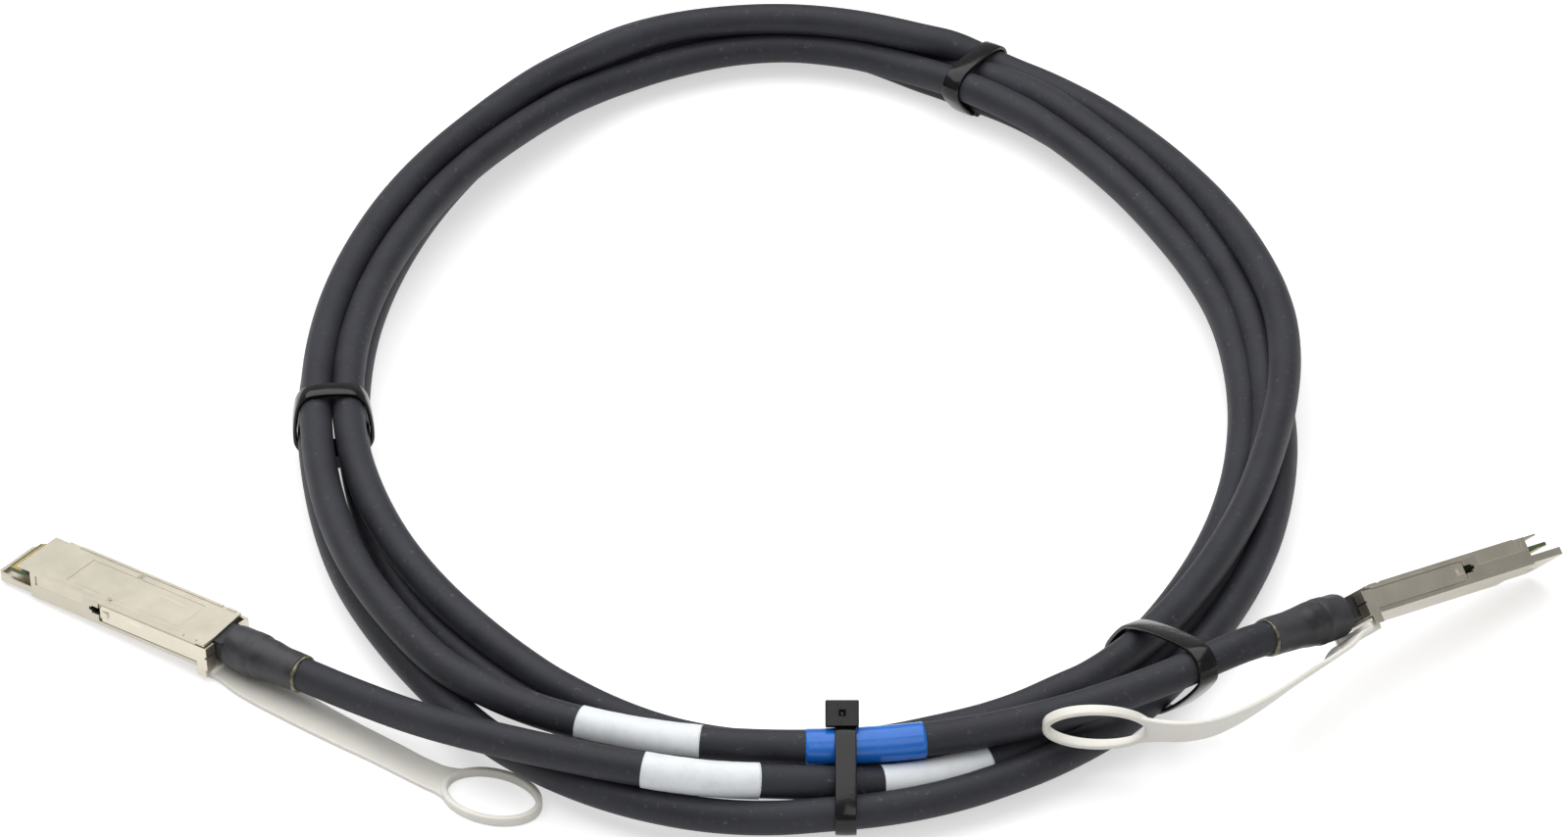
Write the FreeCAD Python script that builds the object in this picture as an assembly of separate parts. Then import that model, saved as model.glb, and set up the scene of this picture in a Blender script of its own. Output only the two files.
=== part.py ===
"""A passive copper cable with a latching plug at each end, coiled and tied.

Each plug is built once in its own frame: x runs to the nose, y to the left, z to the cover,
with the origin in the middle of the rear edge. It is then turned and set down where it lies.
The coil is a closed oval of four arcs that touch smoothly, with the cable's turns side by
side on it in lanes that are one cable diameter wide. All sizes are in millimetres.
"""
import FreeCAD, Part
import math
import os

os.makedirs("parts", exist_ok=True)
V = FreeCAD.Vector

# cable
CABLE_D = 9.8
R = CABLE_D / 2
LIFT = 5.0            # the coil lies on the heads of three ties, so it starts this far up

# oval of the coil, for the outermost lane
OVAL_X = 5.6
OVAL_A = 146.3        # half width
END_R = 115.0         # radius of the two end arcs
TOP_Y = 95.5          # centre of the far end arc
FRONT_Y = -92.5       # centre of the near end arc

# plug
PLUG_W = 18.35
PLUG_H = 8.5
COVER_L = 71.9        # rear edge to the cover's blade
WALL_L = 66.6         # rear edge to the end of the side walls
TONGUE_L = 80.5
WALL = 1.2
SEAM_Z = 0.4          # height of the line between the two shells
ARM_END = 40.0
ARM_H = 2.8           # half height of the slider's arm
TRAVEL = 2.2          # the release slider's stroke
BOOT_START = -3.6
BOOT_END = -32.0
TAB_T = 1.4
HALF_W = PLUG_W / 2
HALF_H = PLUG_H / 2

# where each plug lies: rear point, heading, nose-down pitch, roll
PLUGS = {
    "a": dict(at=V(-160.1, -124.7, 8.9), yaw=143.2, pitch=2.67, roll=0.0),
    "b": dict(at=V(160.5, -132.1, 24.9), yaw=39.95, pitch=10.85, roll=-48.25),
}

# how far the drawing is moved so that its origin is between the plugs
ORIGIN = (1.169671861, 135.0874, 0.0000249)

# cable ties
TIE_W = 6.0
TIE_T = 1.2

shapes = {}


def box(x0, x1, y0, y1, z0, z1):
    return Part.makeBox(x1 - x0, y1 - y0, z1 - z0, V(x0, y0, z0))


def cyl(r, p, axis, h):
    return Part.makeCylinder(r, h, p, axis)


def place(shape, key):
    """Turn a shape from the plug's frame into the place where that plug lies."""
    p = PLUGS[key]
    s = shape.copy()
    lie = FreeCAD.Placement(p["at"], FreeCAD.Rotation(p["yaw"], p["pitch"], p["roll"]))
    s.Placement = lie.multiply(s.Placement)
    return s


def to_world(key, x, y, z):
    p = PLUGS[key]
    return p["at"] + FreeCAD.Rotation(p["yaw"], p["pitch"], p["roll"]).multVec(V(x, y, z))


def slab(points, z0, z1):
    """A flat plate from a closed outline in x and y."""
    pts = [V(x, y, z0) for x, y in points]
    face = Part.Face(Part.makePolygon(pts + [pts[0]]))
    return face.extrude(V(0, 0, z1 - z0))


def route(points, r):
    """A round tube along straight runs joined by tangent arcs."""
    pts = [V(*p) for p in points]
    edges = []
    start = pts[0]
    length = 0.0
    smallest = 1e9
    for i in range(1, len(pts) - 1):
        a = pts[i - 1] - pts[i]
        b = pts[i + 1] - pts[i]
        la = a.Length
        lb = b.Length
        a.normalize()
        b.normalize()
        turn = math.pi - a.getAngle(b)
        rad = 0.45 * min(la, lb) / math.tan(turn / 2)
        cut = rad * math.tan(turn / 2)
        p1 = pts[i] + a * cut
        p2 = pts[i] + b * cut
        bis = a + b
        bis.normalize()
        mid = pts[i] + bis * (rad / math.cos(turn / 2) - rad)
        edges.append(Part.LineSegment(start, p1).toShape())
        edges.append(Part.Arc(p1, mid, p2).toShape())
        length += (p1 - start).Length + rad * turn
        smallest = min(smallest, rad)
        start = p2
    edges.append(Part.LineSegment(start, pts[-1]).toShape())
    length += (pts[-1] - start).Length
    wire = Part.Wire(edges)
    d = pts[1] - pts[0]
    circle = Part.Wire([Part.Circle(pts[0], d, r).toShape()])
    tube = wire.makePipeShell([circle], True, False)
    print("tube: length %.1f, smallest radius %.1f, volume share %.4f"
          % (length, smallest, tube.Volume / (math.pi * r * r * length)))
    return tube, length


def hull(circles):
    """Corners of the convex outline round circles (x, y, r), as tangent points in order."""
    pts = []
    for cx, cy, r in circles:
        for k in range(72):
            t = 2 * math.pi * k / 72
            pts.append((cx + r * math.cos(t), cy + r * math.sin(t)))
    pts = sorted(set((round(x, 6), round(y, 6)) for x, y in pts))

    def half(seq):
        out = []
        for p in seq:
            while len(out) > 1:
                ax = out[-1][0] - out[-2][0]
                ay = out[-1][1] - out[-2][1]
                bx = p[0] - out[-2][0]
                by = p[1] - out[-2][1]
                if ax * by - ay * bx > 1e-9:
                    break
                out.pop()
            out.append(p)
        return out
    lower = half(pts)
    upper = half(reversed(pts))
    return lower[:-1] + upper[:-1]


# ---- plug pieces, each in the plug's frame ----

def lower_shell():
    """Die-cast tray: a floor, two side walls, and a shallow rimmed tongue at the nose."""
    y = HALF_W
    z = -HALF_H
    s = box(3.4, WALL_L, -y, y, z, SEAM_Z)
    s = s.cut(box(4.6, WALL_L + 1, -y + WALL, y - WALL, z + WALL, SEAM_Z + 1))
    # tall rear walls that carry the slider's arms
    for k in (-1, 1):
        lo = min(k * (y - WALL), k * y)
        s = s.fuse(box(3.4, 46.0, lo, lo + WALL, z, HALF_H - 0.8))
    s = s.fuse(box(3.4, 4.6, -y, y, z, HALF_H - 0.8))
    # tongue
    t = slab([(WALL_L - 1, -8.6), (TONGUE_L - 1.5, -8.6), (TONGUE_L, -7.1), (TONGUE_L, 7.1),
              (TONGUE_L - 1.5, 8.6), (WALL_L - 1, 8.6)], z + 0.5, z + 2.7)
    t = t.cut(box(WALL_L - 2, TONGUE_L - 1.2, -7.4, 7.4, z + 1.5, z + 3))
    t = t.cut(cyl(1.1, V(TONGUE_L - 4.6, 3.4, z), V(0, 0, 1), 4))
    s = s.fuse(t)
    # side recesses for the arms, and the window ahead of each arm
    for k in (-1, 1):
        lo = min(k * (y - 0.75), k * (y + 0.1))
        s = s.cut(box(3.0, ARM_END + 0.5, lo, lo + 0.85, -ARM_H - 0.2, ARM_H + 0.2))
        lo = min(k * (y - 2.0), k * (y + 0.1))
        s = s.cut(box(ARM_END + 0.5, ARM_END + 3.1, lo, lo + 2.1, -1.0, 1.4))
        s = s.cut(box(ARM_END + 3.1, ARM_END + 4.0, lo, lo + 2.1, -0.3, 0.9))
        # slot that lets the slider's inner tab reach the return spring
        s = s.cut(box(5.4, 10.6, lo, lo + 2.1, -0.9, 0.9))
    # seat of the cable clamp in the rear wall
    s = s.cut(box(3.0, 5.0, -5.2, 5.2, -3.05, HALF_H))
    return s.removeSplitter()


def top_cover():
    """Cover: a plate over the full length with a thin blade at the nose and folded sides."""
    y = HALF_W
    z = HALF_H
    s = box(0.0, WALL_L, -y, y, z - 0.8, z)
    s = s.fuse(box(WALL_L - 1, COVER_L, -y + 0.55, y - 0.55, z - 0.5, z))
    for k in (-1, 1):
        lo = min(k * (y - WALL), k * y)
        skirt = box(46.0, WALL_L, lo, lo + WALL, SEAM_Z, z - 0.8)
        lo2 = min(k * (y - 0.35), k * (y + 0.1))
        skirt = skirt.cut(box(WALL_L - 2.6, WALL_L - 2.0, lo2, lo2 + 0.45, SEAM_Z, z - 0.6))
        s = s.fuse(skirt)
        # folded rail that stands on the edge beside the label's recess
        lo3 = min(k * (y - 0.9), k * y)
        s = s.fuse(box(8.0, 62.0, lo3, lo3 + 0.9, z - 0.1, z + 0.25))
        s = s.fuse(box(3.2, 6.2, lo3, lo3 + 0.9, z - 0.1, z + 0.25))
        # heads of the two pins sit in round holes
        s = s.cut(cyl(1.0, V(37.4, k * 6.9, z - 0.9), V(0, 0, 1), 1.6))
    s = s.cut(box(12.3, 54.9, -6.0, 6.0, z - 0.15, z + 1))
    # slanted rear edge over the boot
    s = s.cut(slab([(-1, -y - 1), (1.6, -y - 1), (-0.6, y + 1), (-1, y + 1)], z - 1, z + 1))
    return s.removeSplitter()


def paddle_card():
    """Circuit card with a row of contact fingers on each face at the nose."""
    s = slab([(44, -7.6), (WALL_L + 8.6, -7.6), (WALL_L + 9.9, -6.6), (WALL_L + 9.9, 6.6),
              (WALL_L + 8.6, 7.6), (44, 7.6)], 0.3, 1.3)
    for i in range(19):
        yy = -6.84 + i * 0.76
        s = s.fuse(box(WALL_L + 5.6, WALL_L + 9.2, yy - 0.26, yy + 0.26, 0.24, 1.36))
    # the card's feet stand on the tray's floor
    for k in (-1, 1):
        s = s.fuse(box(46, 60, k * 6 - 0.9, k * 6 + 0.9, -HALF_H + WALL, 0.3))
    return s.removeSplitter()


def release_slider():
    """Sheet-metal fork: two side arms, rear cheeks with inturned flanges, and a cross bar."""
    y = HALF_W
    parts = []
    for k in (-1, 1):
        lo = min(k * (y - 0.65), k * (y - 0.05))
        arm = box(0.0, ARM_END - 0.8, lo, lo + 0.6, -ARM_H, ARM_H)
        arm = arm.fuse(box(ARM_END - 3.6, ARM_END - 0.2, lo, lo + 0.6, -1.7, 1.9))
        # small wedge that spreads the cage's latch springs
        w = Part.Face(Part.makePolygon([V(0, 0, 0), V(2.6, 0, 0), V(0, 0.5, 0), V(0, 0, 0)]))
        w = w.extrude(V(0, 0, 1.8))
        w.translate(V(ARM_END - 3.2, 0, -0.8))
        if k < 0:
            w = w.mirror(V(0, 0, 0), V(0, 1, 0))
        w.translate(V(0, k * (y - 0.05), 0))
        arm = arm.fuse(w)
        lo2 = min(k * (y - 0.65), k * (y + 0.35))
        cheek = box(-0.2, 3.0, lo2, lo2 + 1.0, -7.0, HALF_H - 1.1)
        arm = arm.fuse(cheek)
        lo3 = min(k * 5.7, k * (y + 0.35))
        wid = y + 0.35 - 5.7
        arm = arm.fuse(box(-0.8, -0.1, lo3, lo3 + wid, -HALF_H, -0.5))
        arm = arm.fuse(box(-0.8, -0.1, lo3, lo3 + wid, 0.1, HALF_H - 1.1))
        # inner tab that presses on the return spring
        lo4 = min(k * (y - 2.6), k * (y - 0.1))
        arm = arm.fuse(box(9.2, 9.8, lo4, lo4 + 2.5, -0.7, 0.7))
        parts.append(arm)
    bar = box(0.4, 1.6, -y - 0.35, y + 0.35, -7.0, -6.0)
    s = parts[0].fuse(parts[1]).fuse(bar)
    return s.removeSplitter()


def spring_body(k):
    """Return spring: five turns of round wire between the rear wall and the slider's tab."""
    pitch = 0.88
    wire_r = 0.16
    helix = Part.makeHelix(pitch, pitch * 5 - 0.30, 0.62)
    c = Part.Wire([Part.Circle(V(0.62, 0, 0), V(0, 1, 0), wire_r).toShape()])
    s = Part.Wire(helix.Edges).makePipeShell([c], True, True)
    s.Placement = FreeCAD.Placement(V(4.85, k * (HALF_W - 1.95), 0), FreeCAD.Rotation(V(0, 1, 0), 90))
    return s


def cable_clamp():
    """Black block that grips the cable, with a round neck that runs into the boot."""
    s = box(-3.0, 8.0, -5.0, 5.0, -3.0, HALF_H - 0.85)
    neck = cyl(R, V(-14.0, 0, 0), V(1, 0, 0), 11.5)
    return s.fuse(neck).removeSplitter()


def boot():
    """Heat-shrink sleeve: one turned outline, fatter over the clamp's neck."""
    outer = [(BOOT_START, 6.0), (-4.6, 6.45), (-9.0, 6.55), (-12.5, 6.75), (-16.5, 6.35),
             (-20.5, 5.85), (-25.0, 5.65), (-30.0, 5.6), (BOOT_END, 5.65)]
    pts = [V(x, 0, r) for x, r in outer]
    curve = Part.BSplineCurve()
    curve.interpolate(pts)
    edges = [curve.toShape()]
    a = V(BOOT_START, 0, R)
    b = V(BOOT_END, 0, R)
    edges.append(Part.LineSegment(pts[-1], b).toShape())
    edges.append(Part.LineSegment(b, a).toShape())
    edges.append(Part.LineSegment(a, pts[0]).toShape())
    face = Part.Face(Part.Wire(edges))
    return face.revolve(V(0, 0, 0), V(1, 0, 0), 360)


def glue_ring():
    """Bead of set adhesive squeezed out at the sleeve's cable end."""
    pts = [V(BOOT_END, 0, R), V(BOOT_END, 0, R + 0.62), V(BOOT_END - 0.9, 0, R + 0.55),
           V(BOOT_END - 1.5, 0, R + 0.1), V(BOOT_END - 1.55, 0, R)]
    face = Part.Face(Part.makePolygon(pts + [pts[0]]))
    return face.revolve(V(0, 0, 0), V(1, 0, 0), 360)


def cover_pin(k):
    """Pin with a low round head that joins the cover to the lower shell."""
    s = cyl(1.0, V(37.4, k * 6.9, HALF_H - 2.6), V(0, 0, 1), 2.45)
    return s.cut(cyl(0.45, V(37.4, k * 6.9, HALF_H - 0.5), V(0, 0, 1), 0.6))


def pin_boss(k):
    """Post in the lower shell under each pin."""
    lo = min(k * 5.9, k * (HALF_W - WALL))
    return box(35.9, 38.9, lo, lo + HALF_W - WALL - 5.9, -HALF_H + WALL, HALF_H - 2.6)


def strap(sections):
    """A flat strap through cross-sections given as (centre, width direction, width, thickness)."""
    wires = []
    n = len(sections)
    for i, (c, w, wid, th) in enumerate(sections):
        lo = sections[max(i - 1, 0)][0]
        hi = sections[min(i + 1, n - 1)][0]
        d = V(*hi) - V(*lo)
        d.normalize()
        wv = V(*w)
        wv = wv - d * wv.dot(d)
        wv.normalize()
        nv = d.cross(wv)
        c = V(*c)
        q = [c + wv * (wid / 2) + nv * (th / 2), c - wv * (wid / 2) + nv * (th / 2),
             c - wv * (wid / 2) - nv * (th / 2), c + wv * (wid / 2) - nv * (th / 2)]
        wires.append(Part.makePolygon(q + [q[0]]))
    return Part.makeLoft(wires, True, True)


def loop_plate(where, axes, th):
    """Oval plate in the plane of two directions, given with its centre."""
    centre, along, across = where
    x = V(*along)
    x.normalize()
    y = V(*across)
    y = y - x * y.dot(x)
    y.normalize()
    z = x.cross(y)
    plate = Part.Face(Part.Wire([Part.Ellipse(V(0, 0, 0), axes[0], axes[1]).toShape()]))
    plate = plate.extrude(V(0, 0, th))
    plate.translate(V(0, 0, -th / 2))
    m = FreeCAD.Matrix(x.x, y.x, z.x, centre[0], x.y, y.y, z.y, centre[1],
                       x.z, y.z, z.z, centre[2], 0, 0, 0, 1)
    plate.Placement = FreeCAD.Placement(m).multiply(plate.Placement)
    return plate


LOOPS = {
    "a": ((-82.0, -187.3, 1.6), (0.857, -0.515, 0.0), (0.515, 0.857, 0.0)),
    "b": ((87.3, -187.6, 26.0), (-1.0, 0.04, 0.0), (0.0, -0.42, 0.907)),
}
LOOP_OUT = (15.3, 11.0)
LOOP_IN = (13.6, 9.3)
LOOP_T = 3.2


def pull_tab(key):
    """Moulded strap hooked on the slider's bar, widening a little, with a finger loop."""
    hook = place(box(-1.0, 3.0, -7.6, 7.6, -8.4, -5.6), key)
    hook = hook.cut(place(box(0.4, 1.6, -9.6, 9.6, -7.0, -6.0), key))
    near = to_world(key, 0.6, 0, -7.7)
    near = (near.x, near.y, near.z)
    root = to_world(key, -2.0, 0, -7.8)
    root = (root.x, root.y, root.z)
    p = PLUGS[key]
    wv = FreeCAD.Rotation(p["yaw"], p["pitch"], p["roll"]).multVec(V(0, -1, 0))
    w0 = (wv.x, wv.y, wv.z)
    if key == "a":
        w0 = (-w0[0], -w0[1], -w0[2])
        sections = [(near, w0, 15.2, TAB_T), (root, w0, 15.2, TAB_T),
                    ((-152.0, -133.6, 0.9), (-0.62, -0.78, 0), 13.8, TAB_T),
                    ((-138.0, -146.2, 0.72), (-0.62, -0.78, 0), 12.6, TAB_T),
                    ((-125.5, -156.6, 0.7), (-0.62, -0.78, 0), 11.5, TAB_T),
                    ((-112.0, -167.1, 0.7), (-0.62, -0.79, 0), 10.7, TAB_T),
                    ((-103.0, -174.4, 0.7), (-0.58, -0.81, 0), 10.6, TAB_T),
                    ((-97.5, -178.3, 0.7), (-0.53, -0.85, 0), 11.6, TAB_T),
                    ((-94.0, -180.2, 0.7), (-0.515, -0.857, 0), 13.6, TAB_T),
                    ((-90.9, -182.0, 0.7), (-0.515, -0.857, 0), 16.2, TAB_T)]
    else:
        sections = [(near, w0, 15.2, TAB_T), (root, w0, 15.2, TAB_T),
                    ((156.8, -148.6, 22.3), (0.50, -0.42, 0.76), 13.8, TAB_T),
                    ((146.6, -160.6, 23.5), (0.45, -0.42, 0.79), 12.6, TAB_T),
                    ((134.8, -174.1, 24.5), (0.36, -0.42, 0.83), 11.5, TAB_T),
                    ((126.7, -182.0, 25.2), (0.26, -0.42, 0.87), 10.9, TAB_T),
                    ((119.3, -187.2, 25.7), (0.16, -0.42, 0.89), 10.6, TAB_T),
                    ((110.5, -189.6, 26.0), (0.05, -0.42, 0.907), 10.6, TAB_T),
                    ((104.4, -189.3, 26.1), (0.0, -0.42, 0.907), 12.2, TAB_T),
                    ((100.6, -188.8, 26.05), (0.0, -0.42, 0.907), 14.2, TAB_T),
                    ((97.0, -188.3, 26.0), (0.0, -0.42, 0.907), 16.4, TAB_T)]
    s = hook.fuse(strap(sections)).fuse(loop_plate(LOOPS[key], LOOP_OUT, LOOP_T))
    return s.cut(loop_plate(LOOPS[key], LOOP_IN, 8.0)).removeSplitter()


for key in PLUGS:
    n = "plug_" + key + "_"
    shell = lower_shell()
    for k in (-1, 1):
        shell = shell.fuse(pin_boss(k))
    shapes[n + "lower_shell"] = place(shell.removeSplitter(), key)
    shapes[n + "top_cover"] = place(top_cover(), key)
    shapes[n + "paddle_card"] = place(paddle_card(), key)
    shapes[n + "release_slider"] = place(release_slider(), key)
    shapes[n + "pull_tab"] = pull_tab(key)
    shapes[n + "cable_clamp"] = place(cable_clamp(), key)
    shapes[n + "boot"] = place(boot(), key)
    shapes[n + "glue_ring"] = place(glue_ring(), key)
    for i, k in enumerate((-1, 1)):
        shapes[n + "return_spring_%d" % (i + 1)] = place(spring_body(k), key)
        shapes[n + "cover_pin_%d" % (i + 1)] = place(cover_pin(k), key)

# ---- the coil ----

HALF_Y = (TOP_Y - FRONT_Y) / 2
MID_Y = (TOP_Y + FRONT_Y) / 2
DELTA = OVAL_A - END_R
SIDE_H = (HALF_Y ** 2 - DELTA ** 2) / (2 * DELTA)
SIDE_R = OVAL_A + SIDE_H
ALPHA = math.degrees(math.atan2(HALF_Y, SIDE_H))
RIGHT = V(OVAL_X - SIDE_H, MID_Y, 0)
LEFT = V(OVAL_X + SIDE_H, MID_Y, 0)
FAR = V(OVAL_X, TOP_Y, 0)
NEAR = V(OVAL_X, FRONT_Y, 0)
print("side arcs: radius %.1f, half angle %.2f, centre line %.1f" % (
    SIDE_R, ALPHA, 2 * math.radians(2 * ALPHA) * SIDE_R + 2 * math.radians(180 - 2 * ALPHA) * END_R))


def lane_point(lane, height, radius):
    return radius - lane * CABLE_D, LIFT + height * CABLE_D


def lane_face(circles, radius):
    """The outline round circles given as (lane, height in diameters), on the x-z plane.

    It runs flat under the first two, then over the others, with a groove between each pair.
    """
    cs = [lane_point(lane, h, radius) for lane, h in circles]
    if len(cs) == 1:
        return Part.Face(Part.Wire([Part.Circle(V(cs[0][0], 0, cs[0][1]), V(0, 1, 0), R).toShape()]))
    order = cs[1:] + [cs[0]]
    edges = [Part.LineSegment(V(cs[0][0], 0, LIFT), V(cs[1][0], 0, LIFT)).toShape()]
    start = (cs[1][0], LIFT)
    for i, (cx, cz) in enumerate(order):
        if i + 1 < len(order):
            nx, nz = order[i + 1]
            dx = nx - cx
            dz = nz - cz
            gap = math.hypot(dx, dz)
            side = math.sqrt(R * R - gap * gap / 4) / gap
            end = ((cx + nx) / 2 - dz * side, (cz + nz) / 2 + dx * side)
        else:
            end = (cs[0][0], LIFT)
        t0 = math.atan2(start[1] - cz, start[0] - cx)
        t1 = math.atan2(end[1] - cz, end[0] - cx)
        while t1 > t0:
            t1 -= 2 * math.pi
        tm = (t0 + t1) / 2
        mid = V(cx + R * math.cos(tm), 0, cz + R * math.sin(tm))
        edges.append(Part.Arc(V(start[0], 0, start[1]), mid, V(end[0], 0, end[1])).toShape())
        start = end
    return Part.Face(Part.Wire(edges))


def arc_of(circles, centre, radius, start, sweep):
    """One stretch of the coil: its outline turned about the centre of that arc."""
    face = lane_face(circles, radius)
    face.rotate(V(0, 0, 0), V(0, 0, 1), start)
    s = face.revolve(V(0, 0, 0), V(0, 0, 1), sweep)
    s.translate(centre)
    return s


RING = [(0.0, 0.5), (1.6, 0.5), (1.25, 1.38), (0.35, 1.38)]
INNER = [(2.15, 0.5), (3.1, 0.5)]
coil = arc_of(RING, RIGHT, SIDE_R, -ALPHA, 2 * ALPHA)
coil = coil.fuse(arc_of(RING, FAR, END_R, ALPHA, 180 - 2 * ALPHA))
coil = coil.fuse(arc_of(RING, LEFT, SIDE_R, 180 - ALPHA, 2 * ALPHA))
coil = coil.fuse(arc_of([(0.0, 0.5)], NEAR, END_R, 180 + ALPHA, 180 - 2 * ALPHA))
coil = coil.fuse(arc_of(INNER, NEAR, END_R, 175 + ALPHA, 190 - 2 * ALPHA))

# ---- the two leads ----

a_in = to_world("a", -14.0, 0, 0)
a_out = to_world("a", -46.0, 0, 0)
LEAD_A = [tuple(a_in), tuple(a_out), (-104.0, -167.6, 13.9), (-84.0, -180.4, 17.2),
          (-66.0, -189.7, 19.3), (-46.0, -197.2, 19.9), (-23.0, -201.8, 18.8), (-5.0, -200.4, 16.9),
          (12.0, -197.5, 14.0), (29.0, -193.8, 11.0), (46.0, -188.2, 9.9), (62.0, -180.4, 9.9),
          (77.5, -168.9, 9.9), (90.5, -154.6, 9.9)]
b_in = to_world("b", -14.0, 0, 0)
b_out = to_world("b", -44.0, 0, 0)
LEAD_B = [(-101.0, -145.5, 19.3), (-86.5, -160.3, 19.5), (-68.0, -173.4, 20.1), (-46.0, -182.6, 20.2),
          (-22.0, -187.8, 20.1), (4.0, -189.4, 20.1), (30.0, -187.6, 20.1), (53.0, -182.6, 20.1),
          (73.0, -176.0, 20.5), (91.5, -170.6, 23.2), (109.5, -167.4, 29.0), tuple(b_out), tuple(b_in)]
lead_a, len_a = route(LEAD_A, R)
lead_b, len_b = route(LEAD_B, R)

# ---- labels on the leads ----

LABELS = {
    "label_white_1": (LEAD_B, -57.0, -23.0, lead_b),
    "label_blue": (LEAD_B, 6.0, 39.0, lead_b),
    "label_white_2": (LEAD_A, -39.0, -7.0, lead_a),
    "label_white_3": (LEAD_A, 27.0, 57.0, lead_a),
}
for name, (points, x0, x1, tube) in LABELS.items():
    skin, _ = route(points, R + 0.22)
    band = skin.common(box(x0, x1, -230, -150, 0, 40))
    shapes[name] = band.cut(tube)

# ---- cable ties ----


def tie(circles, centre, radius, angle, head, clear=0.04):
    """A strap round the convex outline of the cables, with its ratchet head."""
    def ring(grow, half):
        pts = hull([lane_point(lane, h, radius) + (R + grow,) for lane, h in circles])
        pts = [V(x, -half, z) for x, z in pts]
        return Part.Face(Part.makePolygon(pts + [pts[0]])).extrude(V(0, 2 * half, 0))
    outer = ring(TIE_T, TIE_W / 2)
    inner = ring(clear, TIE_W)
    lane, h, tilt = head
    x, z = lane_point(lane, h, radius)
    block = box(-3.9, 3.9, -3.4, 3.4, -0.1, 4.95)
    slot = box(-1.4, 1.0, -0.9, 0.9, 2.0, 6.0)
    block = block.cut(slot)
    block.rotate(V(0, 0, 0), V(0, 1, 0), tilt)
    block.translate(V(x, 0, z))
    s = outer.fuse(block).cut(inner).removeSplitter()
    s.rotate(V(0, 0, 0), V(0, 0, 1), angle)
    s.translate(centre)
    return s


shapes["tie_left"] = tie(RING, LEFT, SIDE_R, 182.5, (0.8, 0.0, 180))
shapes["tie_far"] = tie(RING, FAR, END_R, 55.0, (0.8, 0.0, 180))
shapes["tie_right"] = tie(RING, RIGHT, SIDE_R, -31.0, (0.8, 0.0, 180))
shapes["tie_front"] = tie([(0.0, 0.5), (3.1, 0.5), (1.88, 1.54)], NEAR, END_R, 276.0,
                          (2.52, 1.66, -40.5), 0.3)

for name in ("tie_left", "tie_far", "tie_right", "tie_front"):
    coil = coil.cut(shapes[name])
for name in LABELS:
    coil = coil.cut(shapes[name])
coil = coil.cut(lead_a).cut(lead_b)
solids = sorted(coil.Solids, key=lambda q: -q.Volume)
print("coil", coil.isValid(), [round(q.Volume) for q in solids], "outline", RING)
shapes["coil"] = solids[0]
for name in ("tie_front", "tie_right"):
    shapes[name] = shapes[name].cut(lead_b).cut(shapes["label_blue"])
shapes["lead_a"] = lead_a
shapes["lead_b"] = lead_b
turn = 2 * math.radians(2 * ALPHA) * (SIDE_R - CABLE_D) + 2 * math.radians(180 - 2 * ALPHA) * (
    END_R - CABLE_D)
print("leads %.0f and %.0f, one middle turn %.0f, whole cord about %.0f" % (
    len_a, len_b, turn, len_a + len_b + 3 * turn + 0.82 * turn))

# the origin goes under the middle of the two plugs and their tabs, on the table
base = V(*ORIGIN)
print("moved by", base)

for name in shapes:
    s = shapes[name]
    if len(s.Solids) > 1:
        print("pieces of", name, [round(q.Volume, 3) for q in s.Solids])
        s = sorted(s.Solids, key=lambda q: -q.Volume)[0]
    s = s.copy()
    s.translate(base)
    b = s.optimalBoundingBox(False)
    print("%-28s valid %s faces %d vol %.1f  x %.1f..%.1f y %.1f..%.1f z %.2f..%.2f" % (
        name, s.isValid(), len(s.Faces), s.Volume, b.XMin, b.XMax, b.YMin, b.YMax, b.ZMin, b.ZMax))
    s.exportStep("parts/" + name + ".step")
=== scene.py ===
"""A passive copper cable with a latching plug at each end, coiled, tied and labelled.

The solid model gives every hard piece its shape. This script adds the soft and fine things: the
cable itself on one smooth line, its ties, labels, sleeves, glue, springs and pull tabs, and the
finish of all of them. Shapes are in millimetres and become metres where a mesh or a line is made;
lamps, camera and finishes are in metres.
"""
import math

import bmesh
import bpy
import numpy as np
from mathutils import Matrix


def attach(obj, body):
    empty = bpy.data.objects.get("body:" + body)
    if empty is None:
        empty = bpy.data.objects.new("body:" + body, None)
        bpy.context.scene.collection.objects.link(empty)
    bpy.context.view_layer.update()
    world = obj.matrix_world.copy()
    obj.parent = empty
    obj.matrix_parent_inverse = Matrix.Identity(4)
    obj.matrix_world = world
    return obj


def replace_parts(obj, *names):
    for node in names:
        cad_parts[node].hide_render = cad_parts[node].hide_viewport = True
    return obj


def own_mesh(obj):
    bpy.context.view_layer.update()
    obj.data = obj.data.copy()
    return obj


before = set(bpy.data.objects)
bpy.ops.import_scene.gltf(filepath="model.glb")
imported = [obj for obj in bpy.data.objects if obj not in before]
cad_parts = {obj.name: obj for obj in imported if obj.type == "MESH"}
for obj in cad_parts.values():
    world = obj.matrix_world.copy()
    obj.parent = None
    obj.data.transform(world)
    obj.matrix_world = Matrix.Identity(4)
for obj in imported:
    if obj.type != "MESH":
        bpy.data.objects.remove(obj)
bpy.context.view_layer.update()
scene = bpy.context.scene
scene.view_settings.view_transform = "Standard"


# ---- table, light and camera ----
# A plain white table under soft light from a large lamp overhead and one in front. The table is
# a matt sheet; what it shows of itself is lifted a little so that it reads as white paper does.

MM = 0.001
# How far the table reaches each way.
TABLE_REACH = 9000


def put(socket, value):
    """Link a socket to the one given as its value, or set its plain value."""
    if isinstance(value, bpy.types.NodeSocket):
        socket.id_data.links.new(value, socket)
    else:
        socket.default_value = value


def fill(node, **values):
    """Give each value to the node's input, or else its property, of that name."""
    for key, value in values.items():
        name = key.replace("_", " ")
        if name in node.inputs:
            put(node.inputs[name], value)
        else:
            setattr(node, key, value)
    return node


def add(tree, kind, **values):
    """Add a shader node with the values given."""
    return fill(tree.nodes.new("ShaderNode" + kind), **values)


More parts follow.
